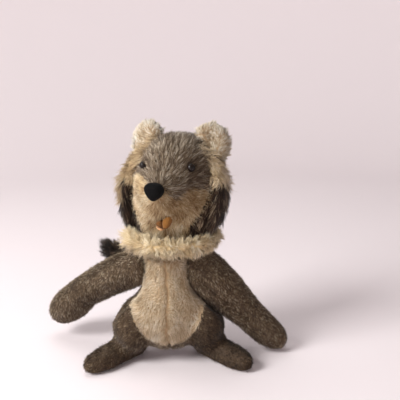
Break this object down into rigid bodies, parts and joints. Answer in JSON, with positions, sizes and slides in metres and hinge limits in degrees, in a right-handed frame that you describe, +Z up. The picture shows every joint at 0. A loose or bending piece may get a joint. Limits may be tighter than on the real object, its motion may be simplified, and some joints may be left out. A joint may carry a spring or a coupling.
{
  "type": "standing plush animal toy",
  "caption": "Standing stuffed plush animal with cream face and belly, grey-brown coat, splayed flat feet, and a head and arms that turn on disc joints.",
  "frame": {"origin": "on the floor under the middle of the toy's bounding box, in the plane of both soles", "axes": "+Z up, -Y out of the toy's belly, +X to the toy's own left"},
  "size_m": [0.2822, 0.1542, 0.2655],
  "materials": {
    "coat_plush": "grey-brown salt-and-pepper woven plush",
    "cream_plush": "short cream woven plush",
    "long_cream_pile": "long curly cream pile",
    "long_dark_pile": "long dark brown pile with light streaks",
    "black_pile": "long black pile",
    "black_stitching": "matte black stitched thread",
    "tan_felt": "tan felt",
    "dark_glass": "dark glossy bead",
    "stuffing": "loose fibre filling",
    "fibre_board": "pressed fibre board",
    "steel": "bare steel"
  },
  "bodies": {
    "body": {"belly_panel_right": "cream_plush", "side_panel_right": "coat_plush", "leg_right_outer_panel": "coat_plush", "leg_right_inner_panel": "coat_plush", "leg_right_stuffing": "stuffing", "sole_right": "coat_plush", "insole_right": "fibre_board", "shoulder_right_disc_body": "fibre_board", "shoulder_right_washer_body": "steel", "shoulder_right_cotter_pin": "steel", "belly_panel_left": "cream_plush", "side_panel_left": "coat_plush", "leg_left_outer_panel": "coat_plush", "leg_left_inner_panel": "coat_plush", "leg_left_stuffing": "stuffing", "sole_left": "coat_plush", "insole_left": "fibre_board", "shoulder_left_disc_body": "fibre_board", "shoulder_left_washer_body": "steel", "shoulder_left_cotter_pin": "steel", "body_stuffing": "stuffing", "neck_disc_body": "fibre_board", "neck_washer_body": "steel", "neck_cotter_pin": "steel"},
    "head": {"face_panel_right": "cream_plush", "head_back_right": "coat_plush", "ear_right_lining": "cream_plush", "ear_right_back": "coat_plush", "mane_right": "long_cream_pile", "cheek_ruff_right": "long_dark_pile", "eye_right": "dark_glass", "face_panel_left": "cream_plush", "head_back_left": "coat_plush", "ear_left_lining": "cream_plush", "ear_left_back": "coat_plush", "mane_left": "long_cream_pile", "cheek_ruff_left": "long_dark_pile", "eye_left": "dark_glass", "forehead_gusset": "coat_plush", "head_stuffing": "stuffing", "collar": "long_cream_pile", "nose": "black_stitching", "mouth_felt": "tan_felt", "neck_disc_limb": "fibre_board", "neck_washer_limb": "steel"},
    "arm_right": {"arm_right_outer_panel": "coat_plush", "arm_right_inner_panel": "coat_plush", "arm_right_stuffing": "stuffing", "shoulder_right_disc_limb": "fibre_board", "shoulder_right_washer_limb": "steel"},
    "arm_left": {"arm_left_outer_panel": "coat_plush", "arm_left_inner_panel": "coat_plush", "arm_left_stuffing": "stuffing", "shoulder_left_disc_limb": "fibre_board", "shoulder_left_washer_limb": "steel"},
    "tail": {"tail_sleeve": "coat_plush", "tail_tip": "black_pile", "tail_stuffing": "stuffing"}
  },
  "joints": [
    {"name": "neck_swivel", "type": "hinge", "parent": "body", "child": "head", "pos_m": [0.004, -0.01576, 0.124], "axis": [0, 0, 1], "continuous": true},
    {"name": "shoulder_right_swing", "type": "hinge", "parent": "body", "child": "arm_right", "pos_m": [-0.026, -0.01576, 0.107], "axis": [1, 0, 0], "range_deg": [-115, 15]},
    {"name": "shoulder_left_swing", "type": "hinge", "parent": "body", "child": "arm_left", "pos_m": [0.026, -0.01576, 0.107], "axis": [1, 0, 0], "range_deg": [-80, 50]},
    {"name": "tail_swing", "type": "hinge", "parent": "body", "child": "tail", "pos_m": [0, 0.01974, 0.044], "axis": [0, 1, 0], "range_deg": [-12, 25]}
  ]
}
